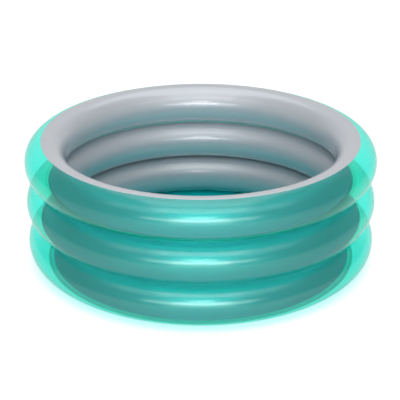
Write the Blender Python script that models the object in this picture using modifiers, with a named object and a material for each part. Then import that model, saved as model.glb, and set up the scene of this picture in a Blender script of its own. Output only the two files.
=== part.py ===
# Inflatable paddling pool: three stacked air rings of welded film on a film floor,
# with an air valve on the back of each ring and a drain in the floor.
# Metres, +Z up. The origin is the middle of the floor's underside, and -Y is the front.

from math import cos, hypot, pi, radians, sin

import bmesh
import bpy

# The rings, from the bottom up
POOL_DIAMETER = 1.5
TUBE_WIDTH = 0.176
RING_HEIGHT = 0.178
RING_NAMES = ("bottom", "middle", "top")
FILM_THICKNESS = 0.0003
# The two films of a ring end this far apart on their weld.
FILM_EDGE_GAP = 0.0005
# The silver film wraps over the top ring down to this angle above the tube's outer side.
TOP_SEAM_ANGLE = radians(79)
SEAM_WIDTH = 0.008
SEAM_THICKNESS = 0.0005

# The welds under each ring, and the floor
WELD_WIDTH = 0.010
WELD_THICKNESS = 0.0012
SEAT_GAP = 0.0003
FLOOR_THICKNESS = 0.0005
FLOOR_MARGIN = 0.008

# Facets: round the pool, over half of a tube's section, and round the small fittings
POOL_FACETS = 48
SECTION_FACETS = 7
FITTING_FACETS = 16

# An air valve, pushed in flush. Its parts stand on the flat facet at the tube's outer side.
VALVE_FACETS_FROM_BACK = {"bottom": 2, "middle": 0, "top": -2}
FLANGE_RADIUS = 0.017
FLANGE_OPENING_RADIUS = 0.011
FLANGE_THICKNESS = 0.001
FLANGE_CHAMFER = 0.0004
VALVE_HOLE_RADIUS = 0.0125
DIAPHRAGM_THICKNESS = 0.0005
DIAPHRAGM_CLEARANCE = 0.0003
STEM_RADIUS = 0.0065
STEM_BORE_RADIUS = 0.0048
STEM_LENGTH = 0.0143
# The diaphragm joins the stem this far above the stem's inner end.
DIAPHRAGM_FOOT = 0.0008
FLAP_RADIUS = 0.0062
FLAP_THICKNESS = 0.0006
FLAP_HINGE_INSET = 0.0003
VALVE_HINGE_REACH = 0.009
VALVE_HEAD_RADIUS = 0.0072
VALVE_HEAD_THICKNESS = 0.0012
VALVE_PLUG_DEPTH = 0.0048
VALVE_PLUG_CLEARANCE = 0.0003
VALVE_PLUG_END_RADIUS = 0.0029
VALVE_STRAP_WIDTH = 0.003
VALVE_STRAP_THICKNESS = 0.0008
VALVE_LUG_WIDTH = 0.0036
VALVE_LUG_THICKNESS = 0.001
VALVE_LUG_DROP = 0.0003
# How far a strap and its lug run past the hinge line
HINGE_END = 0.0004

# The drain, near the front wall
DRAIN_REACH = 0.42
DRAIN_FLANGE_RADIUS = 0.020
DRAIN_FLANGE_THICKNESS = 0.0015
DRAIN_COLLAR_RADIUS = 0.0105
DRAIN_COLLAR_HEIGHT = 0.0027
DRAIN_BORE_RADIUS = 0.008
DRAIN_HOLE_RADIUS = 0.013
DRAIN_HINGE_REACH = 0.014
DRAIN_HEAD_RADIUS = 0.0105
DRAIN_HEAD_THICKNESS = 0.0015
DRAIN_PLUG_DEPTH = 0.0036
DRAIN_PLUG_CLEARANCE = 0.0003
DRAIN_PLUG_END_RADIUS = 0.0058
DRAIN_STRAP_WIDTH = 0.005
DRAIN_STRAP_THICKNESS = 0.001
DRAIN_LUG_WIDTH = 0.006
DRAIN_LUG_DROP = 0.0004

MERGE_DISTANCE = 0.00001
CUT_OVERRUN = 0.002

# Worked out from the sizes above
tube_centre_radius = POOL_DIAMETER / 2 - TUBE_WIDTH / 2
ring_pitch = RING_HEIGHT + WELD_THICKNESS + 2 * SEAT_GAP
lowest_ring_middle = FLOOR_THICKNESS + WELD_THICKNESS + 2 * SEAT_GAP + RING_HEIGHT / 2
facet_turn = pi / POOL_FACETS
equator_half_angle = pi / (2 * SECTION_FACETS)
side_steps = (SECTION_FACETS - 1) // 2
valve_face_radius = (POOL_DIAMETER / 2 + FILM_EDGE_GAP / 2) * cos(facet_turn)

for old in list(bpy.data.objects):
    bpy.data.objects.remove(old, do_unlink=True)

parts = bpy.data.collections.new("paddling_pool")
bpy.context.scene.collection.children.link(parts)
cutters = bpy.data.collections.new("cutters")
bpy.context.scene.collection.children.link(cutters)


def make_material(name, colour, roughness, metallic=0.0, alpha=1.0):
    material = bpy.data.materials.new(name)
    material.use_nodes = True
    shader = material.node_tree.nodes["Principled BSDF"]
    shader.inputs["Base Color"].default_value = (*colour, 1.0)
    shader.inputs["Roughness"].default_value = roughness
    shader.inputs["Metallic"].default_value = metallic
    shader.inputs["Alpha"].default_value = alpha
    material.diffuse_color = (*colour, alpha)
    return material


teal_film = make_material("teal_film", (0.06, 0.72, 0.64), 0.12, alpha=0.55)
silver_film = make_material("silver_film", (0.62, 0.63, 0.66), 0.32, metallic=0.85)
weld_film = make_material("weld_film", (0.10, 0.45, 0.44), 0.25)
floor_film = make_material("floor_film", (0.0, 0.22, 0.24), 0.20)
valve_plastic = make_material("valve_plastic", (0.55, 0.85, 0.82), 0.30)
diaphragm_film = make_material("diaphragm_film", (0.45, 0.80, 0.77), 0.30)
stopper_plastic = make_material("stopper_plastic", (0.40, 0.78, 0.75), 0.30)


def add_object(name, mesh, material, parent=None, location=(0, 0, 0), collection=parts):
    piece = bpy.data.objects.new(name, mesh)
    collection.objects.link(piece)
    piece.parent = parent
    piece.location = location
    if material:
        mesh.materials.append(material)
    return piece


def add_guide(name, parent=None, location=(0, 0, 0), rotation=(0, 0, 0)):
    # An empty that carries pieces: a valve's axis, or a hinge line
    guide = bpy.data.objects.new(name, None)
    parts.objects.link(guide)
    guide.parent = parent
    guide.location = location
    guide.rotation_euler = rotation
    return guide


def turn_profile(name, points, material, facets, closed=False, thickness=0.0, **place):
    # A profile of (radius, height) points, turned about Z. An open one gets its film's thickness inwards.
    mesh = bpy.data.meshes.new(name)
    edges = [(i, i + 1) for i in range(len(points) - 1)]
    if closed:
        edges.append((len(points) - 1, 0))
    mesh.from_pydata([(radius, 0, height) for radius, height in points], edges, [])
    piece = add_object(name, mesh, material, **place)
    screw = piece.modifiers.new("turn", "SCREW")
    screw.axis = "Z"
    screw.angle = 2 * pi
    screw.steps = facets
    screw.render_steps = facets
    screw.use_merge_vertices = True
    screw.merge_threshold = MERGE_DISTANCE
    screw.use_smooth_shade = True
    if thickness:
        film = piece.modifiers.new("film", "SOLIDIFY")
        film.thickness = thickness
        film.offset = -1
        film.use_even_offset = True
        film.use_quality_normals = True
    return piece


def make_cylinder_mesh(name, radius, low, high, facets):
    mesh = bpy.data.meshes.new(name)
    shape = bmesh.new()
    bmesh.ops.create_cone(shape, cap_ends=True, segments=facets, radius1=radius, radius2=radius, depth=high - low)
    bmesh.ops.translate(shape, verts=shape.verts, vec=(0, 0, (low + high) / 2))
    shape.to_mesh(mesh)
    shape.free()
    return mesh


def make_box_mesh(name, low, high):
    mesh = bpy.data.meshes.new(name)
    shape = bmesh.new()
    bmesh.ops.create_cube(shape, size=1)
    size = [b - a for a, b in zip(low, high)]
    middle = [(a + b) / 2 for a, b in zip(low, high)]
    bmesh.ops.scale(shape, verts=shape.verts, vec=size)
    bmesh.ops.translate(shape, verts=shape.verts, vec=middle)
    shape.to_mesh(mesh)
    shape.free()
    return mesh


def combine(piece, tool_mesh, operation, parent=None, location=(0, 0, 0)):
    # Cuts a tool's shape from a piece, or joins it on. The tool itself isn't a part.
    tool = add_object(tool_mesh.name, tool_mesh, None, parent, location, cutters)
    tool.hide_render = True
    tool.display_type = "WIRE"
    boolean = piece.modifiers.new(tool.name, "BOOLEAN")
    boolean.operation = operation
    boolean.solver = "EXACT"
    boolean.object = tool


def ring_middle(ring):
    return lowest_ring_middle + RING_NAMES.index(ring) * ring_pitch


def spread(start, end, steps):
    return [start + (end - start) * i / steps for i in range(steps + 1)]


def section_points(angles, middle_radius, middle_height, inset=0.0):
    # Points round a tube's section, whose facets at the outer and inner side touch the full width
    half_width = (TUBE_WIDTH / 2 - inset) / cos(equator_half_angle)
    half_height = RING_HEIGHT / 2 - inset
    return [(middle_radius + half_width * cos(a), middle_height + half_height * sin(a)) for a in angles]


def outer_angles(seam_angle):
    # From the seam down the outer side, with one flat facet for the valve, to the weld below
    upper = spread(seam_angle, equator_half_angle, side_steps)
    lower = spread(-equator_half_angle, -pi / 2, side_steps)
    return upper + lower


def inner_angles(seam_angle):
    # From the weld below up the inner side, over the crown if the seam lies past it, to the seam
    last = seam_angle - 2 * pi
    upper_steps = side_steps if seam_angle == pi / 2 else side_steps + 1
    lower = spread(-pi / 2, equator_half_angle - pi, side_steps)
    upper = spread(-pi - equator_half_angle, last, upper_steps)
    return lower + upper


def seam_angle_of(ring):
    return TOP_SEAM_ANGLE if ring == RING_NAMES[-1] else pi / 2


def make_ring_films(ring):
    seam_angle = seam_angle_of(ring)
    middle = ring_middle(ring)
    outer_radius = tube_centre_radius + FILM_EDGE_GAP / 2
    inner_radius = tube_centre_radius - FILM_EDGE_GAP / 2
    outer = section_points(outer_angles(seam_angle), outer_radius, middle)
    inner = section_points(inner_angles(seam_angle), inner_radius, middle)
    outer_film = turn_profile(f"{ring}_ring_outer_film", outer, teal_film, POOL_FACETS, thickness=FILM_THICKNESS)
    inner_film = turn_profile(f"{ring}_ring_inner_film", inner, silver_film, POOL_FACETS, thickness=FILM_THICKNESS)
    outer_film.rotation_euler.z = facet_turn
    inner_film.rotation_euler.z = facet_turn
    return outer_film


def point_towards(start, end, distance):
    length = hypot(end[0] - start[0], end[1] - start[1])
    return tuple(a + (b - a) * distance / length for a, b in zip(start, end))


def make_top_seam():
    # A strip inside the top ring, bent along the two films whose edges it joins
    ring = RING_NAMES[-1]
    seam_angle = seam_angle_of(ring)
    angles = (inner_angles(seam_angle)[-2], seam_angle, outer_angles(seam_angle)[1])
    inset = FILM_THICKNESS + SEAT_GAP
    inner, corner, outer = section_points(angles, tube_centre_radius, ring_middle(ring), inset)
    profile = [
        point_towards(corner, inner, SEAM_WIDTH / 2),
        corner,
        point_towards(corner, outer, SEAM_WIDTH / 2),
    ]
    seam = turn_profile("top_seam", profile, weld_film, POOL_FACETS, thickness=SEAM_THICKNESS)
    seam.rotation_euler.z = facet_turn


def make_weld(name, ring):
    # The flat band that the two films of a ring end on, below the ring
    top = ring_middle(ring) - RING_HEIGHT / 2 - SEAT_GAP
    bottom = top - WELD_THICKNESS
    inner = tube_centre_radius - WELD_WIDTH / 2
    outer = tube_centre_radius + WELD_WIDTH / 2
    profile = [(inner, top), (outer, top), (outer, bottom), (inner, bottom)]
    weld = turn_profile(name, profile, weld_film, POOL_FACETS, closed=True)
    weld.rotation_euler.z = facet_turn


def make_floor():
    mesh = make_cylinder_mesh("floor_sheet", tube_centre_radius + FLOOR_MARGIN, 0, FLOOR_THICKNESS, POOL_FACETS)
    floor = add_object("floor_sheet", mesh, floor_film)
    floor.rotation_euler.z = facet_turn
    hole = make_cylinder_mesh(
        "drain_hole", DRAIN_HOLE_RADIUS, -CUT_OVERRUN, FLOOR_THICKNESS + CUT_OVERRUN, FITTING_FACETS
    )
    combine(floor, hole, "DIFFERENCE", location=(0, -DRAIN_REACH, 0))


def make_flange(name, axis):
    low = SEAT_GAP
    high = low + FLANGE_THICKNESS
    profile = [
        (FLANGE_OPENING_RADIUS, high),
        (FLANGE_RADIUS - FLANGE_CHAMFER, high),
        (FLANGE_RADIUS, high - FLANGE_CHAMFER),
        (FLANGE_RADIUS, low),
        (FLANGE_OPENING_RADIUS, low),
    ]
    turn_profile(name, profile, valve_plastic, FITTING_FACETS, closed=True, parent=axis)


def make_diaphragm(name, axis, rim):
    # A thin funnel from the flange's opening in to the stem's foot, as it lies with the stem pushed in
    foot = rim - STEM_LENGTH + DIAPHRAGM_FOOT
    mouth_radius = FLANGE_OPENING_RADIUS - DIAPHRAGM_CLEARANCE
    foot_radius = STEM_RADIUS + DIAPHRAGM_CLEARANCE + DIAPHRAGM_THICKNESS
    depth = rim - foot
    profile = [
        (foot_radius, foot),
        (foot_radius + (mouth_radius - foot_radius) / 4, foot + depth / 4),
        (mouth_radius, rim - depth / 4),
        (mouth_radius, rim),
    ]
    profile.reverse()
    turn_profile(name, profile, diaphragm_film, FITTING_FACETS, thickness=DIAPHRAGM_THICKNESS, parent=axis)


def make_stem(name, axis, rim):
    # The tube that the nozzle goes in, with the lug that its stopper's strap is hinged on
    end = rim - STEM_LENGTH
    profile = [(STEM_BORE_RADIUS, rim), (STEM_RADIUS, rim), (STEM_RADIUS, end), (STEM_BORE_RADIUS, end)]
    stem = turn_profile(name, profile, valve_plastic, FITTING_FACETS, closed=True, parent=axis)
    lug_top = rim - VALVE_LUG_DROP
    lug = make_box_mesh(
        f"{name}_lug",
        ((STEM_RADIUS + STEM_BORE_RADIUS) / 2, -VALVE_LUG_WIDTH / 2, lug_top - VALVE_LUG_THICKNESS),
        (VALVE_HINGE_REACH + HINGE_END, VALVE_LUG_WIDTH / 2, lug_top),
    )
    combine(stem, lug, "UNION", axis)


def make_plug(name, axis, sizes):
    # A tapered plug under a flat head, with a strap to its hinge line. Heights count from the hinge guide's carrier.
    seat = sizes["rim"] + SEAT_GAP
    hinge_height = seat + sizes["strap_thickness"] / 2
    hinge = add_guide(f"{name}_hinge", axis, (sizes["hinge_reach"], 0, hinge_height))
    profile = [
        (0, seat + sizes["head_thickness"]),
        (sizes["head_radius"], seat + sizes["head_thickness"]),
        (sizes["head_radius"], seat),
        (sizes["plug_radius"], seat),
        (sizes["plug_end_radius"], sizes["rim"] - sizes["plug_depth"]),
        (0, sizes["rim"] - sizes["plug_depth"]),
    ]
    to_axis = (-sizes["hinge_reach"], 0, -hinge_height)
    plug = turn_profile(name, profile, stopper_plastic, FITTING_FACETS, parent=hinge, location=to_axis)
    half_width = sizes["strap_width"] / 2
    strap = make_box_mesh(
        f"{name}_strap",
        (sizes["plug_radius"], -half_width, seat),
        (sizes["hinge_reach"] + HINGE_END, half_width, seat + sizes["strap_thickness"]),
    )
    combine(plug, strap, "UNION", hinge, to_axis)


def make_flap(name, axis, rim):
    # The check flap under the stem's inner end, hinged at its edge
    top = rim - STEM_LENGTH - SEAT_GAP
    hinge_reach = FLAP_RADIUS - FLAP_HINGE_INSET
    hinge_height = top - FLAP_THICKNESS / 2
    hinge = add_guide(f"{name}_hinge", axis, (-hinge_reach, 0, hinge_height))
    mesh = make_cylinder_mesh(name, FLAP_RADIUS, -FLAP_THICKNESS / 2, FLAP_THICKNESS / 2, FITTING_FACETS)
    add_object(name, mesh, stopper_plastic, hinge, (hinge_reach, 0, 0))


def make_valve(ring, outer_film):
    # The valve's axis guide stands on the film with its Z pointing out of the ring.
    turn = pi / 2 + VALVE_FACETS_FROM_BACK[ring] * 2 * facet_turn
    place = (valve_face_radius * cos(turn), valve_face_radius * sin(turn), ring_middle(ring))
    axis = add_guide(f"{ring}_valve_axis", None, place, (pi / 2, 0, turn + pi / 2))
    hole = make_cylinder_mesh(f"{ring}_valve_hole", VALVE_HOLE_RADIUS, -CUT_OVERRUN, CUT_OVERRUN, FITTING_FACETS)
    combine(outer_film, hole, "DIFFERENCE", axis)
    rim = SEAT_GAP + FLANGE_THICKNESS
    make_flange(f"{ring}_valve_flange", axis)
    make_diaphragm(f"{ring}_valve_diaphragm", axis, rim)
    make_stem(f"{ring}_valve_stem", axis, rim)
    make_flap(f"{ring}_valve_flap", axis, rim)
    stopper = {
        "rim": rim,
        "hinge_reach": VALVE_HINGE_REACH,
        "head_radius": VALVE_HEAD_RADIUS,
        "head_thickness": VALVE_HEAD_THICKNESS,
        "plug_radius": STEM_BORE_RADIUS - VALVE_PLUG_CLEARANCE,
        "plug_end_radius": VALVE_PLUG_END_RADIUS,
        "plug_depth": VALVE_PLUG_DEPTH,
        "strap_width": VALVE_STRAP_WIDTH,
        "strap_thickness": VALVE_STRAP_THICKNESS,
    }
    make_plug(f"{ring}_valve_stopper", axis, stopper)


def make_drain():
    axis = add_guide("drain_axis", None, (0, -DRAIN_REACH, 0))
    base = FLOOR_THICKNESS + SEAT_GAP
    shoulder = base + DRAIN_FLANGE_THICKNESS
    rim = shoulder + DRAIN_COLLAR_HEIGHT
    profile = [
        (DRAIN_BORE_RADIUS, rim),
        (DRAIN_COLLAR_RADIUS, rim),
        (DRAIN_COLLAR_RADIUS, shoulder),
        (DRAIN_FLANGE_RADIUS, shoulder),
        (DRAIN_FLANGE_RADIUS, base),
        (DRAIN_BORE_RADIUS, base),
    ]
    fitting = turn_profile("drain_fitting", profile, valve_plastic, FITTING_FACETS, closed=True, parent=axis)
    lug = make_box_mesh(
        "drain_lug",
        ((DRAIN_COLLAR_RADIUS + DRAIN_BORE_RADIUS) / 2, -DRAIN_LUG_WIDTH / 2, base + DRAIN_FLANGE_THICKNESS / 2),
        (DRAIN_HINGE_REACH + HINGE_END, DRAIN_LUG_WIDTH / 2, rim - DRAIN_LUG_DROP),
    )
    combine(fitting, lug, "UNION", axis)
    plug = {
        "rim": rim,
        "hinge_reach": DRAIN_HINGE_REACH,
        "head_radius": DRAIN_HEAD_RADIUS,
        "head_thickness": DRAIN_HEAD_THICKNESS,
        "plug_radius": DRAIN_BORE_RADIUS - DRAIN_PLUG_CLEARANCE,
        "plug_end_radius": DRAIN_PLUG_END_RADIUS,
        "plug_depth": DRAIN_PLUG_DEPTH,
        "strap_width": DRAIN_STRAP_WIDTH,
        "strap_thickness": DRAIN_STRAP_THICKNESS,
    }
    make_plug("drain_plug", axis, plug)


for ring_name in RING_NAMES:
    film = make_ring_films(ring_name)
    make_valve(ring_name, film)
make_top_seam()
make_weld("bottom_ring_floor_weld", "bottom")
make_weld("bottom_middle_weld", "middle")
make_weld("middle_top_weld", "top")
make_floor()
make_drain()
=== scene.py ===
# Inflatable paddling pool: the looks of its films, welds, air valves and drain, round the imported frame.
# Metres, +Z up. -Y is the front, and the three air valves are at the back.

from math import atan2, cos, degrees, hypot, pi, radians, sin, sqrt

import bmesh
import bpy
from mathutils import Matrix, Vector, noise


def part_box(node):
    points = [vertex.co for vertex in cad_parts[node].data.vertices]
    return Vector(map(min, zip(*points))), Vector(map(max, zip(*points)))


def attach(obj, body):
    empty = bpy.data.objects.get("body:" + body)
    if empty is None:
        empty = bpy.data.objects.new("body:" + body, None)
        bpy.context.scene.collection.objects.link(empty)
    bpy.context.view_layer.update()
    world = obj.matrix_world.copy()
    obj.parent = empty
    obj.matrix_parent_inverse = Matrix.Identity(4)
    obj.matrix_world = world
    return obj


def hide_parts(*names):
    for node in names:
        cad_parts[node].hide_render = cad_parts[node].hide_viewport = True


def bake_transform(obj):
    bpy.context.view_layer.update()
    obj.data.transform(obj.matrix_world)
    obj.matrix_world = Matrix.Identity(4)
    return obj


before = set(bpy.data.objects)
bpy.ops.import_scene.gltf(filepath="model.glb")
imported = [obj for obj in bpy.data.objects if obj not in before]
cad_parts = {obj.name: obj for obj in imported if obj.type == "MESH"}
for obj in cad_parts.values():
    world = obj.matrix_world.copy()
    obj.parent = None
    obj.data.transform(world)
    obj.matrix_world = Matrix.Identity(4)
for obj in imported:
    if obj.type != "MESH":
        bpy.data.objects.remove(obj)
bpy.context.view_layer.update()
print("frame loaded with", len(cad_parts), "nodes")

# The photograph's camera: its place in metres, its pitch in radians
view = {
    "pixels": 400,
    "sensorWidth": 36.0,
    "focalPixels": 1179.4,
    "middlePixelX": 200.7,
    "place": (0.0, -4.698, 2.343),
    "pitchDown": 0.422,
}


def makeCamera():
    camera = bpy.data.cameras.new("camera")
    camera.sensor_width = view["sensorWidth"]
    camera.lens = view["focalPixels"] * view["sensorWidth"] / view["pixels"]
    camera.shift_x = (view["pixels"] / 2 - view["middlePixelX"]) / view["pixels"]
    holder = bpy.data.objects.new("camera", camera)
    bpy.context.scene.collection.objects.link(holder)
    holder.location = view["place"]
    holder.rotation_euler = (pi / 2 - view["pitchDown"], 0, 0)
    bpy.context.scene.camera = holder


makeCamera()

# Sizes of the rings, from the frame
rings = ("bottom", "middle", "top")
tube = {
    "width": 0.176,
    "facetsRoundFrame": 48,
    "segments": 192,
    "sectionSteps": 72,
    "filmThickness": 0.0003,
    # Where the silver strip of each ring begins and ends, in degrees round its section: 90 is the crown
    "silverFrom": {"bottom": 90.0, "middle": 95.0, "top": 80.0},
    "silverTo": {"bottom": -100.0, "middle": -70.0, "top": -100.0},
}
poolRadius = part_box("middle_ring_outer_film")[1].x / cos(pi / tube["facetsRoundFrame"])
tubeRadius = poolRadius - tube["width"] / 2
halfWidth = tube["width"] / 2
ringLow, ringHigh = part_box("middle_ring_inner_film")
halfHeight = (ringHigh.z - ringLow.z) / 2


def ringMiddle(ring):
    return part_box(f"{ring}_ring_inner_film")[0].z + halfHeight


class Wire:
    # One shader socket, so that shader maths reads as plain sums
    def __init__(self, finish, socket):
        self.finish = finish
        self.socket = socket

    def __add__(self, other):
        return self.finish.sum("ADD", self, other)

    def __radd__(self, other):
        return self.finish.sum("ADD", other, self)

    def __sub__(self, other):
        return self.finish.sum("SUBTRACT", self, other)

    def __rsub__(self, other):
        return self.finish.sum("SUBTRACT", other, self)

    def __mul__(self, other):
        return self.finish.sum("MULTIPLY", self, other)

    def __rmul__(self, other):
        return self.finish.sum("MULTIPLY", other, self)

    def __pow__(self, other):
        return self.finish.sum("POWER", self, other)


class Finish:
    # A material, or the sky, and the nodes in it
    def __init__(self, name, owner=None):
        self.material = owner or bpy.data.materials.new(name)
        self.material.use_nodes = True
        self.tree = self.material.node_tree
        self.tree.nodes.clear()

    def node(self, kind, settings=None, sockets=None, output=0):
        made = self.tree.nodes.new("ShaderNode" + kind)
        for name, value in (settings or {}).items():
            setattr(made, name, value)
        for name, value in (sockets or {}).items():
            if isinstance(value, Wire):
                self.tree.links.new(value.socket, made.inputs[name])
            else:
                made.inputs[name].default_value = value
        return Wire(self, made.outputs[output]) if len(made.outputs) else made

    def sum(self, operation, first, second):
        return self.node("Math", {"operation": operation}, {0: first, 1: second})

    def colourMix(self, factor, first, second):
        return self.node("Mix", {"data_type": "RGBA"}, {0: factor, 6: first, 7: second}, output=2)

    def place(self):
        return self.node("TexCoord", output="Object")

    def reach(self):
        # How far a point is from the middle of the floor
        return self.node("VectorMath", {"operation": "LENGTH"}, {0: self.place()}, output="Value")

    def noise(self, scale, detail=2.0):
        sockets = {"Scale": scale, "Detail": detail, "Vector": self.place()}
        return self.node("TexNoise", sockets=sockets, output="Fac")

    def bump(self, height, distance):
        return self.node("Bump", sockets={"Height": height, "Distance": distance})

    def shader(self, sockets):
        return self.node("BsdfPrincipled", sockets=sockets)

    def shaderMix(self, factor, first, second):
        return self.node("MixShader", sockets={0: factor, 1: first, 2: second})

    def seenRay(self, glossShare):
        # 1 for the camera's rays, less for what glossy and clear surfaces show, 0 for the light on things
        seen, glossy, clear = (
            self.node("LightPath", output=f"Is {kind} Ray") for kind in ("Camera", "Glossy", "Transmission")
        )
        return self.sum("MAXIMUM", seen, self.sum("MAXIMUM", glossy, clear) * glossShare)

    def finish(self, surface):
        self.node("OutputMaterial", sockets={"Surface": surface})
        return self.material


def rgb(red, green, blue):
    return (red, green, blue, 1.0)


plainWhite = rgb(1.0, 1.0, 1.0)

tealLook = {
    "tint": (0.46, 0.97, 0.926),
    "facingGloss": 0.07,
    "aslantBlend": 0.5,
    "grazingPower": 5.5,
    "grazingShare": 0.90,
    "gleam": (0.95, 1.0, 0.99),
    "glossRoughness": 0.20,
    "rippleScale": 9.0,
    "rippleDepth": 0.00025,
}
# The film's face inside the ring adds little gleam of its own
tealBackLook = {
    **tealLook,
    "facingGloss": 0.02,
    "grazingShare": 0.40,
}


def makeTealFilm(name, look):
    # Clear teal film: what is behind shows through its tint, and it gleams most where it is seen aslant
    film = Finish(name)
    ripple = film.bump(film.noise(look["rippleScale"]), look["rippleDepth"])
    aslant = film.node("LayerWeight", sockets={"Blend": look["aslantBlend"]}, output="Facing")
    gloss = look["facingGloss"] + (aslant ** look["grazingPower"]) * look["grazingShare"]
    clear = film.node("BsdfTransparent", sockets={"Color": rgb(*look["tint"])})
    gleam = film.shader({
        "Base Color": rgb(*look["gleam"]),
        "Metallic": 1.0,
        "Roughness": look["glossRoughness"],
        "Normal": ripple,
    })
    return film.finish(film.shaderMix(gloss, clear, gleam))


silverLook = {
    "colour": (0.60, 0.63, 0.68),
    "darkColour": (0.565, 0.60, 0.65),
    "metallic": 0.25,
    "roughness": 0.38,
    "coat": 1.0,
    "coatRoughness": 0.08,
    "roughnessChange": 0.05,
    "cloudScale": 5.0,
    "grainScale": 900.0,
    "grainDetail": 1.0,
    "grainDepth": 0.00002,
}
# The side of the silver film that faces the air in the ring is duller
silverBackLook = {
    **silverLook,
    "colour": (0.57, 0.59, 0.66),
    "darkColour": (0.52, 0.54, 0.61),
    "metallic": 0.45,
    "roughness": 0.42,
    "coat": 0.0,
}


def makeSilverFilm(name, look):
    # Opaque film with a metal pigment: a fine grain and a slight cloudiness under a smooth face
    film = Finish(name)
    cloud = film.noise(look["cloudScale"])
    grain = film.noise(look["grainScale"], look["grainDetail"])
    return film.finish(film.shader({
        "Base Color": film.colourMix(cloud, rgb(*look["colour"]), rgb(*look["darkColour"])),
        "Metallic": look["metallic"],
        "Roughness": look["roughness"] + cloud * look["roughnessChange"],
        "Coat Weight": look["coat"],
        "Coat Roughness": look["coatRoughness"],
        "Normal": film.bump(grain, look["grainDepth"]),
    }))


floorLook = {
    "colour": (0.0, 0.66, 0.67),
    "deepColour": (0.0, 0.59, 0.60),
    "roughness": 0.22,
    "roughnessChange": 0.08,
    "cloudScale": 4.0,
    "dimpleScale": 160.0,
    "dimpleSoftness": 0.4,
    "dimpleScatter": 0.35,
    "dimpleDepth": 0.0003,
    # Past this radius the sheet is fused with the ring's clear film
    "fusedFrom": 0.640,
    "fusedTo": 0.646,
    "fusedTint": (0.27, 0.78, 0.77),
}


def makeFloorFilm():
    # Deep teal film with an embossed, dimpled face
    look = floorLook
    film = Finish("floorFilm")
    cloud = film.noise(look["cloudScale"])
    dimples = film.node("TexVoronoi", {"feature": "SMOOTH_F1"}, {
        "Vector": film.place(),
        "Scale": look["dimpleScale"],
        "Smoothness": look["dimpleSoftness"],
        "Randomness": look["dimpleScatter"],
    }, output="Distance")
    sheet = film.shader({
        "Base Color": film.colourMix(cloud, rgb(*look["colour"]), rgb(*look["deepColour"])),
        "Roughness": look["roughness"] + cloud * look["roughnessChange"],
        "Normal": film.bump(dimples, look["dimpleDepth"]),
    })
    fused = film.node("MapRange", sockets={
        "Value": film.reach(), "From Min": look["fusedFrom"], "From Max": look["fusedTo"],
    })
    clear = film.node("BsdfTransparent", sockets={"Color": rgb(*look["fusedTint"])})
    return film.finish(film.shaderMix(fused, sheet, clear))


plasticLook = {
    "valve": (0.50, 0.80, 0.77),
    "stopper": (0.34, 0.72, 0.69),
    "diaphragm": (0.42, 0.78, 0.75),
    "shadeShare": 0.82,
    "roughness": 0.28,
    "roughnessChange": 0.1,
    "softness": 0.3,
    "softDepth": 0.002,
    "cloudScale": 60.0,
    "grainScale": 2400.0,
    "grainDepth": 0.00001,
}


def makePlastic(name):
    # Soft moulded plastic, milky, with a faint moulded grain
    look = plasticLook
    plastic = Finish(name + "Plastic")
    colour = look[name]
    shade = tuple(part * look["shadeShare"] for part in colour)
    cloud = plastic.noise(look["cloudScale"])
    return plastic.finish(plastic.shader({
        "Base Color": plastic.colourMix(cloud, rgb(*colour), rgb(*shade)),
        "Roughness": look["roughness"] + cloud * look["roughnessChange"],
        "Subsurface Weight": look["softness"],
        "Subsurface Scale": look["softDepth"],
        "Normal": plastic.bump(plastic.noise(look["grainScale"]), look["grainDepth"]),
    }))


materials = {
    "outer_film": makeTealFilm("tealFilm", tealLook),
    "inner_film": makeSilverFilm("silverFilm", silverLook),
    "floor_film": makeFloorFilm(),
    "weld": makeTealFilm("weldFilm", tealLook),
    "valve": makePlastic("valve"),
    "diaphragm": makePlastic("diaphragm"),
    "stopper": makePlastic("stopper"),
}
# What each film shows to the air inside its ring
backs = {
    "outer_film": makeTealFilm("tealBack", tealBackLook),
    "inner_film": makeSilverFilm("silverBack", silverBackLook),
}
print("materials made:", len(materials) + len(backs))

# How finely pieces are shaped: angles in degrees, distances in metres
shaping = {
    "turnSteps": 96,
    "mergeDistance": 0.00001,
    "smoothUnder": 30.0,
    "bevelFrom": 35.0,
    "bevelSegments": 2,
    "cornerSegments": 6,
    "punchSides": 48,
    "punchDepth": 0.02,
}


def startClean():
    if bpy.context.object and bpy.context.object.mode != "OBJECT":
        bpy.ops.object.mode_set(mode="OBJECT")
    bpy.ops.object.select_all(action="DESELECT")


def pickUp(piece):
    # Selects this piece alone
    startClean()
    piece.select_set(True)
    bpy.context.view_layer.objects.active = piece


def edit(piece, kind):
    pickUp(piece)
    bpy.ops.object.mode_set(mode="EDIT")
    bpy.ops.mesh.select_mode(type=kind)
    bpy.ops.mesh.select_all(action="DESELECT")


def pick(piece, kind, test):
    # Selects the faces, edges or corners that pass the test
    shape = bmesh.from_edit_mesh(piece.data)
    for item in getattr(shape, kind):
        item.select_set(test(item))
    shape.select_flush_mode()
    bmesh.update_edit_mesh(piece.data)


def leaveEdit():
    bpy.ops.object.mode_set(mode="OBJECT")


def apply(piece, kind, **settings):
    pickUp(piece)
    modifier = piece.modifiers.new(kind.lower(), kind)
    for name, value in settings.items():
        setattr(modifier, name, value)
    bpy.ops.object.modifier_apply(modifier=modifier.name)


def smooth(piece, angle=shaping["smoothUnder"]):
    pickUp(piece)
    bpy.ops.object.shade_smooth_by_angle(angle=radians(angle))


def settle(piece):
    # Puts a piece's place into its mesh
    pickUp(piece)
    bpy.ops.object.transform_apply(location=True, rotation=True, scale=True)


def dress(piece, slot, nodes, body="pool"):
    if not piece.data.materials:
        piece.data.materials.append(materials[slot])
    if nodes:
        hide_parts(*nodes)
    if body:
        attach(piece, body)


def thicken(piece, thickness, backMaterial=0):
    # The wall grows inwards; backMaterial is the step from the material of its outer face to that of its back
    apply(
        piece, "SOLIDIFY", thickness=thickness, offset=-1, use_even_offset=True, use_quality_normals=True,
        material_offset=backMaterial,
    )


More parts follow.
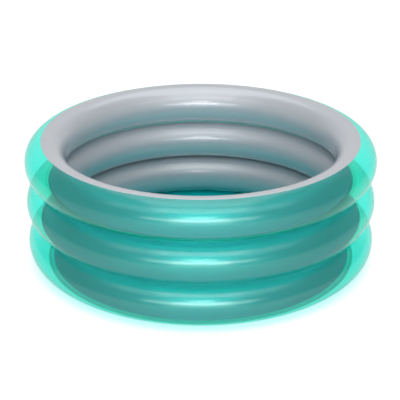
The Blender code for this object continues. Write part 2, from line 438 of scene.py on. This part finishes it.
def cutWith(piece, tool):
    apply(piece, "BOOLEAN", operation="DIFFERENCE", solver="EXACT", object=tool)
    bpy.data.objects.remove(tool)


def joinWith(piece, tool):
    apply(piece, "BOOLEAN", operation="UNION", solver="EXACT", object=tool)
    bpy.data.objects.remove(tool)


def punch(piece, radius, place):
    # Cuts a round hole for a fitting
    startClean()
    bpy.ops.mesh.primitive_cylinder_add(
        vertices=shaping["punchSides"], radius=radius, depth=shaping["punchDepth"],
    )
    tool = bpy.context.object
    tool.matrix_world = place
    cutWith(piece, tool)


def eased(share):
    # From 0 to 1, with a soft start and a soft end
    return share * share * (3 - 2 * share)


def limited(share):
    return min(1, max(0, share))


def upFromZero(swing):
    # Turns a swing from -1 to 1 into a share from 0 to 1
    return swing * 0.5 + 0.5


def turned(name, profile, steps, closed=False, sweep=2 * pi):
    # A plane, merged to one corner, extruded along a profile of (radius, height) points and spun about Z
    startClean()
    bpy.ops.mesh.primitive_plane_add(size=halfWidth)
    piece = bpy.context.object
    piece.name = name
    edit(piece, "VERT")
    bpy.ops.mesh.select_all(action="SELECT")
    bpy.ops.mesh.merge(type="CENTER")
    radius, height = profile[0]
    bpy.ops.transform.translate(value=(radius, 0, height))
    points = profile + profile[:1] if closed else profile
    for start, end in zip(points, points[1:]):
        step = (end[0] - start[0], 0, end[1] - start[1])
        bpy.ops.mesh.extrude_region_move(TRANSFORM_OT_translate={"value": step})
    bpy.ops.mesh.select_all(action="SELECT")
    bpy.ops.mesh.spin(steps=steps, angle=sweep, center=(0, 0, 0), axis=(0, 0, 1))
    bpy.ops.mesh.select_all(action="SELECT")
    bpy.ops.mesh.remove_doubles(threshold=shaping["mergeDistance"])
    bpy.ops.mesh.normals_make_consistent(inside=False)
    leaveEdit()
    return piece


# An air valve's place: its axis stands out of the back of its ring
valve = {
    "seatGap": 0.0003,
    "flangeThickness": 0.001,
    "filmHoleRadius": 0.0125,
    "flatRadius": 0.019,
    "blendRadius": 0.046,
    # The film's faces within each distance of the valve are cut finer, by so many cuts
    "finerWithin": ((0.075, 3), (0.03, 2)),
}


def valveAxis(ring):
    # Local X runs along the ring, Y up and Z out of it, from the flat of the frame that carries the valve
    low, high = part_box(f"{ring}_valve_flange")
    middle = (low + high) / 2
    turn = atan2(middle.y, middle.x)
    out = Vector((cos(turn), sin(turn), 0))
    base = middle - out * (valve["seatGap"] + valve["flangeThickness"] / 2)
    return Matrix.Translation(base) @ Matrix.Rotation(turn + pi / 2, 4, "Z") @ Matrix.Rotation(pi / 2, 4, "X")


def sectionAngle(point, middle):
    # Degrees round the tube's section, from -180 to 180: 0 is its outer side
    across = (hypot(point.x, point.y) - tubeRadius) / halfWidth
    return degrees(atan2((point.z - middle) / halfHeight, across))


def sectionProfile(middle, first, last, points, lift):
    # Points round a ring's section from one angle to another in degrees, at a lift from the film's outer face
    profile = []
    for i in range(points):
        angle = radians(first + (last - first) * i / (points - 1))
        across = (halfWidth + lift) * cos(angle)
        up = (halfHeight + lift) * sin(angle)
        profile.append((tubeRadius + across, middle + up))
    return profile


def roundOff(piece, middle):
    # Sets each corner on the tube's true, oval section
    for corner in piece.data.vertices:
        reach = hypot(corner.co.x, corner.co.y)
        across = reach - tubeRadius
        up = corner.co.z - middle
        ease = 1 / sqrt((across / halfWidth) ** 2 + (up / halfHeight) ** 2)
        share = (tubeRadius + across * ease) / reach
        corner.co = (corner.co.x * share, corner.co.y * share, middle + up * ease)


def flatten(piece, axis):
    # Draws the film flat under a valve's flange
    inverse = axis.inverted()
    blendWidth = valve["blendRadius"] - valve["flatRadius"]
    for corner in piece.data.vertices:
        local = inverse @ corner.co
        far = hypot(local.x, local.y)
        if far < valve["blendRadius"] and local.z > -halfWidth:
            share = eased(limited((far - valve["flatRadius"]) / blendWidth))
            local.z = valve["seatGap"] + (local.z - valve["seatGap"]) * share
            corner.co = axis @ local


def makeFilm(ring, side):
    middle = ringMiddle(ring)
    startClean()
    bpy.ops.mesh.primitive_torus_add(
        major_radius=tubeRadius, minor_radius=halfWidth,
        major_segments=tube["segments"], minor_segments=tube["sectionSteps"],
        location=(0, 0, middle),
    )
    piece = bpy.context.object
    piece.name = f"{ring}{side.title()}Film"
    settle(piece)
    edit(piece, "FACE")
    bpy.ops.mesh.select_all(action="SELECT")
    bpy.ops.transform.resize(value=(1, 1, halfHeight / halfWidth), center_override=(0, 0, middle))

    def isOuter(face):
        angle = sectionAngle(face.calc_center_median(), middle)
        return tube["silverTo"][ring] < angle < tube["silverFrom"][ring]

    pick(piece, "faces", lambda face: isOuter(face) == (side == "inner"))
    bpy.ops.mesh.delete(type="FACE")
    if side == "outer":
        axis = valveAxis(ring)
        centre = axis.translation
        for reach, cuts in valve["finerWithin"]:
            pick(piece, "faces", lambda face: (face.calc_center_median() - centre).length < reach)
            bpy.ops.mesh.subdivide(number_cuts=cuts)
    leaveEdit()
    if side == "outer":
        roundOff(piece, middle)
        flatten(piece, axis)
    slot = f"{side}_film"
    piece.data.materials.append(materials[slot])
    piece.data.materials.append(backs[slot])
    thicken(piece, tube["filmThickness"], backMaterial=1)
    if side == "outer":
        punch(piece, valve["filmHoleRadius"], axis)
    smooth(piece)
    dress(piece, slot, [f"{ring}_ring_{side}_film"])


for ring in rings:
    for side in ("outer", "inner"):
        makeFilm(ring, side)
print("films made")

weld = {
    "width": 0.010,
    "edgeRound": 0.0004,
    "seatGap": 0.0003,
}


def makeWeld(name, node):
    # The flat band that the films of a ring end on
    low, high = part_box(node)
    inner = tubeRadius - weld["width"] / 2
    outer = tubeRadius + weld["width"] / 2
    bottom = low.z - weld["seatGap"]
    top = high.z + weld["seatGap"]
    profile = [(inner, bottom), (outer, bottom), (outer, top), (inner, top)]
    piece = turned(name, profile, tube["segments"], closed=True)
    apply(piece, "BEVEL", width=weld["edgeRound"], segments=shaping["bevelSegments"], limit_method="ANGLE")
    smooth(piece)
    dress(piece, "weld", [node])


makeWeld("floorWeld", "bottom_ring_floor_weld")
makeWeld("lowerWeld", "bottom_middle_weld")
makeWeld("upperWeld", "middle_top_weld")
print("welds made")

seam = {
    "inset": 0.0006,
    # How far the strip reaches under each film from the line between them, in degrees round the section
    "underTeal": 0.4,
    "underSilver": 4.8,
    "points": 5,
    "thickness": 0.0005,
}


def makeTopSeam():
    # The strip inside the top ring that the two films are welded on
    edge = tube["silverFrom"]["top"]
    first, last = edge + seam["underSilver"], edge - seam["underTeal"]
    profile = sectionProfile(ringMiddle("top"), first, last, seam["points"], -seam["inset"])
    piece = turned("topSeam", profile, tube["segments"])
    thicken(piece, seam["thickness"])
    smooth(piece)
    dress(piece, "weld", ["top_seam"])


makeTopSeam()
print("seam made")

floor = {
    "loops": 22,
    "segments": 144,
    "lift": 0.0020,
    "creaseLift": 0.0030,
    "waveScale": 5.0,
    "creaseCount": 44,
    "creaseStart": 0.42,
    "creaseSwing": 5.0,
    "creaseSwingScale": 6.0,
    "drainCalmFrom": 0.03,
    "drainCalm": 0.08,
    "edgeCalm": 0.05,
    "drainHoleRadius": 0.013,
    "thickness": 0.0005,
}
drainLow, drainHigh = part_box("drain_fitting")
drainReach = -(drainLow.y + drainHigh.y) / 2
drainPlace = Matrix.Translation((0, -drainReach, 0))


def floorHeight(x, y):
    # Soft waves over the sheet, and short creases that run in from its weld
    reach = hypot(x, y)
    turn = atan2(y, x)
    swingScale = floor["creaseSwingScale"]
    wave = upFromZero(noise.noise((x * floor["waveScale"], y * floor["waveScale"], 0.0)))
    swing = noise.noise((cos(turn) * swingScale, sin(turn) * swingScale, 1.0)) * floor["creaseSwing"]
    crease = upFromZero(sin(turn * floor["creaseCount"] + swing))
    edge = max(0, (reach - floor["creaseStart"]) / (tubeRadius - floor["creaseStart"]))
    calm = limited((hypot(x, y + drainReach) - floor["drainCalmFrom"]) / floor["drainCalm"])
    settled = limited((tubeRadius - reach) / floor["edgeCalm"])
    return calm * settled * (wave * floor["lift"] + crease * edge * edge * floor["creaseLift"])


def makeFloor():
    low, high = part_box("floor_sheet")
    radius = high.x / cos(pi / tube["facetsRoundFrame"])
    startClean()
    bpy.ops.mesh.primitive_circle_add(
        vertices=floor["segments"], radius=radius, fill_type="NGON", location=(0, 0, high.z)
    )
    piece = bpy.context.object
    piece.name = "floorSheet"
    settle(piece)
    edit(piece, "FACE")
    bpy.ops.mesh.select_all(action="SELECT")
    for i in range(floor["loops"]):
        bpy.ops.mesh.inset(thickness=radius / (floor["loops"] + 1))
    bpy.ops.mesh.poke()
    leaveEdit()
    for corner in piece.data.vertices:
        corner.co.z += floorHeight(corner.co.x, corner.co.y)
    thicken(piece, floor["thickness"])
    punch(piece, floor["drainHoleRadius"], drainPlace)
    smooth(piece)
    dress(piece, "floor_film", ["floor_sheet"])


makeFloor()
print("floor made")

mm = 0.001


def inMetres(points):
    return [(radius * mm, height * mm) for radius, height in points]


def turnedSolid(name, points):
    # A closed solid from an outline in millimetres that starts and ends on the axis, or runs round a ring
    return turned(name, inMetres(points), shaping["turnSteps"], closed=points[0][0] > 0)


def makeBar(name, low, high, roundCorners, roundEnd):
    # A flat bar along X, in millimetres, with its corners rounded at one end
    startClean()
    size = [(b - a) * mm for a, b in zip(low, high)]
    middle = [(a + b) / 2 * mm for a, b in zip(low, high)]
    bpy.ops.mesh.primitive_cube_add(size=1, location=middle, scale=size)
    piece = bpy.context.object
    piece.name = name
    settle(piece)
    edit(piece, "EDGE")
    end = (high if roundEnd > 0 else low)[0] * mm
    near = shaping["mergeDistance"]

    def isUpright(edge):
        first, second = (corner.co for corner in edge.verts)
        return abs(first.x - end) + abs(second.x - end) < near < abs(first.z - second.z)

    pick(piece, "edges", isUpright)
    bpy.ops.mesh.bevel(offset=roundCorners * mm, segments=shaping["cornerSegments"], affect="EDGES")
    leaveEdit()
    return piece


def softenEdges(piece, width):
    apply(
        piece, "BEVEL", width=width * mm, segments=shaping["bevelSegments"],
        limit_method="ANGLE", angle_limit=radians(shaping["bevelFrom"]),
    )
    smooth(piece)


def copyTo(piece, name, place):
    # A copy with its own mesh, moved to its place
    copied = piece.copy()
    copied.data = piece.data.copy()
    copied.name = name
    bpy.context.scene.collection.objects.link(copied)
    copied.data.transform(place)
    return copied


# Outlines of a valve's parts in millimetres, as (radius, height over the film) round the valve's axis
flange = {
    "outline": [
        (11.0, 0.3), (17.0, 0.3), (17.0, 0.75), (16.5, 1.0),
        (16.1, 1.0), (15.8, 1.3), (15.4, 1.3), (15.1, 1.0),
        (14.7, 1.0), (14.4, 1.3), (14.0, 1.3), (13.7, 1.0),
        (13.0, 1.0), (12.5, 1.6), (11.3, 1.7), (11.0, 1.4),
    ],
    "edgeRound": 0.1,
}
diaphragm = {
    "mouthRadius": 11.05,
    "footRadius": 7.3,
    "stemRadius": 6.55,
    "rim": 1.3,
    "foot": -12.2,
    "lipDrop": 0.2,
    "wallPoints": 14,
    "folds": 3,
    "fold": 0.25,
    "thickness": 0.5,
    "smoothUnder": 50.0,
}
stem = {
    "outline": [
        (4.8, 0.9), (5.1, 1.3), (6.3, 1.3), (6.5, 1.1), (6.5, 0.5), (6.3, 0.2),
        (6.3, -11.4), (6.5, -11.6), (6.5, -13.0), (5.2, -13.0), (4.8, -12.6),
    ],
    "lugLow": (5.6, -1.8, 0.0),
    "lugHigh": (9.4, 1.8, 1.0),
    "postLow": (8.5, -1.3, 0.8),
    "postHigh": (9.4, 1.3, 1.4),
    "cornerRound": 1.2,
    "edgeRound": 0.12,
}
stopper = {
    "outline": [
        (0.0, 2.3), (3.0, 2.3), (3.5, 2.6), (4.2, 2.78), (5.6, 2.75), (6.6, 2.5), (7.15, 2.1),
        (7.2, 1.8), (6.9, 1.6), (4.5, 1.6), (4.4, 0.6), (4.65, 0.2), (4.35, -0.3), (4.0, -1.4),
        (4.3, -1.8), (3.9, -2.3), (3.2, -3.2), (2.7, -3.5), (0.0, -3.5),
    ],
    "strapLow": (6.0, -1.5, 1.6),
    "strapHigh": (9.4, 1.5, 2.3),
    "tabLow": (-10.3, -2.6, 1.65),
    "tabHigh": (-6.0, 2.6, 2.25),
    "tabRound": 2.2,
    "ribLow": (-9.7, -1.7, 2.2),
    "ribHigh": (-9.2, 1.7, 2.5),
    "ribStep": 1.0,
    "ribs": 2,
    "edgeRound": 0.12,
}
flap = {
    "outline": [
        (0.0, -13.0), (6.2, -13.0), (6.2, -13.6), (5.6, -13.6),
        (5.4, -13.4), (2.0, -13.4), (1.6, -13.8), (0.0, -13.8),
    ],
    "hingeLow": (-6.5, -1.6, -13.25),
    "hingeHigh": (-5.0, 1.6, -13.0),
    "hingeRound": 0.6,
    "edgeRound": 0.1,
}


def makeFlange():
    piece = turnedSolid("flange", flange["outline"])
    softenEdges(piece, flange["edgeRound"])
    return piece


def makeDiaphragm():
    # A thin funnel that rolls in from the flange's mouth to the stem's foot, with soft rings
    sizes = diaphragm
    points = [(sizes["mouthRadius"], sizes["rim"])]
    last = sizes["wallPoints"] - 1
    for i in range(1, last + 1):
        share = i / last
        radius = sizes["mouthRadius"] + (sizes["footRadius"] - sizes["mouthRadius"]) * eased(share)
        fold = sizes["fold"] * sin(share * pi) * sin(share * sizes["folds"] * pi)
        points.append((radius - fold * fold, sizes["rim"] + (sizes["foot"] - sizes["rim"]) * share))
    points.append((sizes["stemRadius"], sizes["foot"] - sizes["lipDrop"]))
    piece = turned("diaphragm", inMetres(points), shaping["turnSteps"])
    thicken(piece, sizes["thickness"] * mm)
    smooth(piece, sizes["smoothUnder"])
    return piece


def makeStem():
    piece = turnedSolid("stem", stem["outline"])
    joinWith(piece, makeBar("lug", stem["lugLow"], stem["lugHigh"], stem["cornerRound"], 1))
    joinWith(piece, makeBar("post", stem["postLow"], stem["postHigh"], stem["edgeRound"], 1))
    softenEdges(piece, stem["edgeRound"])
    return piece


def makeStopper(name, sizes):
    # A head over a tapered, ribbed plug, with its strap on one side and a pull tab on the other
    piece = turnedSolid(name, sizes["outline"])
    joinWith(piece, makeBar("strap", sizes["strapLow"], sizes["strapHigh"], sizes["edgeRound"], 1))
    joinWith(piece, makeBar("tab", sizes["tabLow"], sizes["tabHigh"], sizes["tabRound"], -1))
    for i in range(sizes["ribs"]):
        shift = sizes["ribStep"] * i
        low = (sizes["ribLow"][0] + shift, *sizes["ribLow"][1:])
        high = (sizes["ribHigh"][0] + shift, *sizes["ribHigh"][1:])
        joinWith(piece, makeBar("rib", low, high, sizes["edgeRound"], -1))
    softenEdges(piece, sizes["edgeRound"])
    return piece


def makeFlap():
    piece = turnedSolid("flap", flap["outline"])
    joinWith(piece, makeBar("hinge", flap["hingeLow"], flap["hingeHigh"], flap["hingeRound"], -1))
    softenEdges(piece, flap["edgeRound"])
    return piece


def fitValves():
    # Each part is made once and copied to the three rings
    parts = {
        "flange": (makeFlange(), "valve"),
        "diaphragm": (makeDiaphragm(), "diaphragm"),
        "stem": (makeStem(), "valve"),
        "stopper": (makeStopper("stopper", stopper), "stopper"),
        "flap": (makeFlap(), "stopper"),
    }
    for ring in rings:
        axis = valveAxis(ring)
        for part, (model, slot) in parts.items():
            node = f"{ring}_valve_{part}"
            piece = copyTo(model, f"{ring}Valve{part.title()}", axis)
            if part == "diaphragm":
                dress(piece, slot, [node], None)
                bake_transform(piece)
            else:
                dress(piece, slot, [node], "pool" if part == "flange" else node)
    for model, _ in parts.values():
        bpy.data.objects.remove(model)


fitValves()
print("valves made")

# Outlines of the drain's parts in millimetres, as (radius, height over the ground) round its axis
drain = {
    "outline": [
        (8.0, 0.8), (20.0, 0.8), (20.0, 1.5), (19.4, 2.0),
        (18.9, 2.0), (18.5, 2.35), (17.9, 2.35), (17.5, 2.0),
        (16.9, 2.0), (16.5, 2.35), (15.9, 2.35), (15.5, 2.0),
        (12.2, 2.1), (11.3, 2.4), (10.7, 3.1), (10.5, 3.9), (10.5, 4.7), (10.2, 5.0), (8.4, 5.0), (8.0, 4.6),
    ],
    "lugLow": (9.3, -3.0, 1.5),
    "lugHigh": (14.4, 3.0, 4.6),
    "postLow": (13.3, -2.2, 4.4),
    "postHigh": (14.4, 2.2, 5.1),
    "cornerRound": 1.5,
    "edgeRound": 0.2,
}
drainPlug = {
    "outline": [
        (0.0, 6.0), (5.2, 6.0), (5.9, 6.4), (6.8, 6.7), (8.6, 6.75), (9.9, 6.5), (10.45, 6.1), (10.5, 5.6),
        (10.1, 5.3), (7.7, 5.3), (7.6, 4.2), (7.9, 3.8), (7.4, 3.2), (7.0, 2.6), (7.2, 2.3), (6.6, 1.8),
        (5.8, 1.4), (0.0, 1.4),
    ],
    "strapLow": (9.0, -2.5, 5.3),
    "strapHigh": (14.4, 2.5, 6.2),
    "tabLow": (-15.0, -3.8, 5.35),
    "tabHigh": (-9.0, 3.8, 6.15),
    "tabRound": 3.2,
    "ribLow": (-14.0, -2.4, 6.1),
    "ribHigh": (-13.3, 2.4, 6.5),
    "ribStep": 1.4,
    "ribs": 3,
    "edgeRound": 0.2,
}


def fitDrain():
    fitting = turnedSolid("drainFitting", drain["outline"])
    joinWith(fitting, makeBar("lug", drain["lugLow"], drain["lugHigh"], drain["cornerRound"], 1))
    joinWith(fitting, makeBar("post", drain["postLow"], drain["postHigh"], drain["edgeRound"], 1))
    softenEdges(fitting, drain["edgeRound"])
    fitting.data.transform(drainPlace)
    dress(fitting, "valve", ["drain_fitting"])
    plug = makeStopper("drainPlug", drainPlug)
    plug.data.transform(drainPlace)
    dress(plug, "stopper", ["drain_plug"], "drain_plug")


fitDrain()
print("drain made")

# Where the strips of film are lapped and welded into rings: turns from the front, and the lap's width
laps = {
    "outerTurn": 140.0,
    "innerTurn": 20.0,
    "turnStep": 7.0,
    "width": 0.012,
    "lift": 0.0004,
    "thickness": 0.0003,
    "sectionPoints": 25,
    "steps": 4,
    "edgeAngle": 3.0,
}


def makeLap(ring, side):
    # A narrow strip over the film, from one weld to the other
    start, end, gap = tube["silverFrom"][ring], tube["silverTo"][ring], laps["edgeAngle"]
    first, last = (start - gap, end + gap) if side == "outer" else (start + gap, 360 + end - gap)
    profile = sectionProfile(ringMiddle(ring), first, last, laps["sectionPoints"], laps["lift"])
    turn = laps[side + "Turn"] + laps["turnStep"] * rings.index(ring)
    reach = poolRadius if side == "outer" else tubeRadius - halfWidth
    piece = turned(f"{ring}{side.title()}Lap", profile, laps["steps"], sweep=laps["width"] / reach)
    piece.data.transform(Matrix.Rotation(radians(turn) - pi / 2, 4, "Z"))
    thicken(piece, laps["thickness"])
    smooth(piece)
    dress(piece, f"{side}_film", [])


for ring in rings:
    for side in ("outer", "inner"):
        makeLap(ring, side)
print("laps made")

stage = {
    "size": 60.0,
    "drop": 0.0005,
    "colour": (0.80, 0.80, 0.80),
    "roughness": 0.9,
    "glowShare": 0.60,
    "glow": 1.55,
    "glossShare": 0.6,
    # A painted shadow: the white ground round the pool's foot is tinted teal where the light that comes
    # through the teal film would fall
    "tint": (0.50, 0.88, 0.86),
    "paintedShadowFrom": 0.69,
    "paintedShadowTo": 0.78,
}


def makeStage():
    startClean()
    bpy.ops.mesh.primitive_plane_add(size=stage["size"], location=(0, 0, -stage["drop"]))
    ground = bpy.context.object
    ground.name = "ground"
    finish = Finish("ground")
    plain = finish.shader({
        "Base Color": rgb(*stage["colour"]),
        "Roughness": stage["roughness"],
        "Specular IOR Level": 0.0,
    })
    # Painted shadow: between these radii the ground's glow turns from the teal shadow tint to white
    clear = finish.node("MapRange", {"interpolation_type": "SMOOTHSTEP"}, {
        "Value": finish.reach(), "From Min": stage["paintedShadowFrom"], "From Max": stage["paintedShadowTo"],
    })
    paintedShadowColour = finish.colourMix(clear, rgb(*stage["tint"]), plainWhite)
    glow = finish.node("Emission", sockets={"Color": paintedShadowColour, "Strength": stage["glow"]})
    ground.data.materials.append(finish.finish(
        finish.shaderMix(finish.seenRay(stage["glossShare"]) * stage["glowShare"], plain, glow)
    ))


makeStage()

# Each lamp points at the pool: its turn from the front and its height in degrees, its size and its level
lamps = {
    "front": {"turn": 0, "height": 15, "size": (2.6, 1.0), "level": 3.8},
    "frontWide": {"turn": 0, "height": 16, "size": (5.6, 1.0), "level": 2.4},
    "frontLow": {"turn": 0, "height": 3, "size": (3.0, 0.8), "level": 1.3},
    "camera": {"turn": 0, "height": 28, "size": (1.2, 0.4), "level": 6.2},
    "frontHigh": {"turn": 0, "height": 57, "size": (3.4, 2.0), "level": 1.7},
    "overhead": {"turn": 0, "height": 90, "size": (3.0, 2.4), "level": 1.5},
    "backHigh": {"turn": 180, "height": 62, "size": (3.2, 2.2), "level": 1.15},
    "leftHigh": {"turn": -45, "height": 45, "size": (2.4, 1.6), "level": 0.6},
    "rightHigh": {"turn": 45, "height": 45, "size": (2.4, 1.6), "level": 0.6},
}
lampDistance = 4.5
poolMiddle = Vector((0, 0, 0.27))
sky = {
    "level": 0.23,
    "glossBehind": 0.66,
    "glossElsewhere": 0.20,
    "behindFrom": 0.4,
    "behindTo": 0.9,
}
# A line of sight passes through many clear faces before it ends
clearFaces = 32


def makeLamp(name, lamp):
    light = bpy.data.lights.new(name, "AREA")
    light.shape = "RECTANGLE"
    light.size, light.size_y = lamp["size"]
    light.energy = lamp["level"] * pi * light.size * light.size_y
    holder = bpy.data.objects.new(name, light)
    bpy.context.scene.collection.objects.link(holder)
    turn, height = radians(lamp["turn"]), radians(lamp["height"])
    out = Vector((sin(turn) * cos(height), -cos(turn) * cos(height), sin(height)))
    holder.location = poolMiddle + out * lampDistance
    holder.rotation_euler = (-out).to_track_quat("-Z", "Y").to_euler()
    holder.visible_camera = False


def makeSky():
    # White to the camera, bright behind the pool in what gleams, dimmer elsewhere and as light
    world = bpy.data.worlds.new("sky")
    bpy.context.scene.world = world
    finish = Finish("sky", world)
    direction = finish.node("TexCoord", output="Generated")
    back = finish.node("SeparateXYZ", sockets={"Vector": direction}, output="Y")
    behind = finish.node("MapRange", {"interpolation_type": "SMOOTHSTEP"}, {
        "Value": back, "From Min": sky["behindFrom"], "From Max": sky["behindTo"],
        "To Min": sky["glossElsewhere"], "To Max": sky["glossBehind"],
    })
    dim, white = (
        finish.node("Background", sockets={"Color": plainWhite, "Strength": level})
        for level in (sky["level"], 1.0)
    )
    finish.node("OutputWorld", sockets={"Surface": finish.shaderMix(finish.seenRay(behind), dim, white)})


for name, lamp in lamps.items():
    makeLamp(name, lamp)
makeSky()
bpy.context.scene.cycles.transparent_max_bounces = clearFaces
bpy.context.scene.view_settings.view_transform = "Standard"
print("stage and lamps made")
